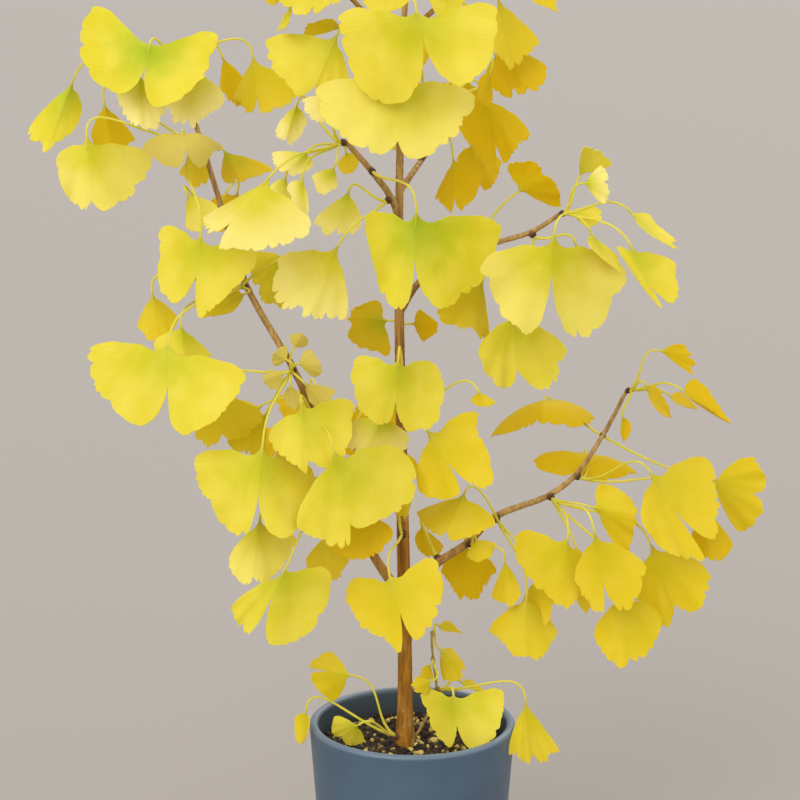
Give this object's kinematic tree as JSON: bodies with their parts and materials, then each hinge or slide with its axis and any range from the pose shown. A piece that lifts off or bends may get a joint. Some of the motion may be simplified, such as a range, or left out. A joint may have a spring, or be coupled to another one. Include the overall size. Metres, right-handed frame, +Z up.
{
  "type": "potted ginkgo sapling",
  "caption": "Young ginkgo tree in yellow autumn leaf: fan-shaped notched leaves on thin stalks, in clusters along slim branches, growing in a plain tapered round pot of soil.",
  "frame": {"origin": "centre of the pot's underside", "axes": "+Z up along the pot's axis, +Y away from the front that the picture shows, +X to the right"},
  "size_m": [0.4239, 0.218, 0.6465],
  "materials": {
    "glaze": "satin blue-grey glaze on a plain pot",
    "earth": "dark potting soil with pale grains",
    "bark": "smooth young bark, warm brown",
    "leaf": "matt autumn-yellow leaf with fine fanned veins"
  },
  "bodies": {
    "root": {"pot": "glaze", "soil": "earth", "trunk_and_branches": "bark", "leaves_left_8": "leaf", "leaves_left_7": "leaf", "leaves_left_6": "leaf", "leaves_left_5": "leaf", "leaves_left_4": "leaf", "leaves_left_3": "leaf", "leaves_left_2": "leaf", "leaves_upper_left_3": "leaf", "leaves_upper_left_2": "leaf", "leaves_upper_left_1": "leaf", "leaves_upper_right_1": "leaf", "leaves_upper_right_2": "leaf", "leaves_upper_right_3": "leaf", "leaves_upper_right_4": "leaf", "leaves_trunk_3": "leaf", "leaves_trunk_4": "leaf", "leaves_trunk_5": "leaf", "leaves_trunk_7": "leaf", "leaves_top_left_1": "leaf", "leaves_top_left_2": "leaf", "leaves_top_left_3": "leaf", "leaves_trunk_9": "leaf", "leaves_top_right_1": "leaf", "leaves_top_right_2": "leaf", "leaves_top_right_3": "leaf", "leaves_trunk_10": "leaf", "leaves_trunk_11": "leaf", "leaves_right_1": "leaf", "leaves_right_2": "leaf", "leaves_right_3": "leaf", "leaves_right_4": "leaf", "leaves_right_5": "leaf", "leaves_right_6": "leaf", "leaves_right_7": "leaf", "leaves_trunk_1": "leaf", "leaves_sucker_2": "leaf", "leaves_sucker_3": "leaf", "leaves_sucker_4": "leaf", "leaves_back_left_1": "leaf", "leaves_back_left_2": "leaf", "leaves_back_left_3": "leaf", "leaves_back_right_1": "leaf", "leaves_back_right_2": "leaf", "leaves_back_right_3": "leaf"}
  },
  "joints": []
}
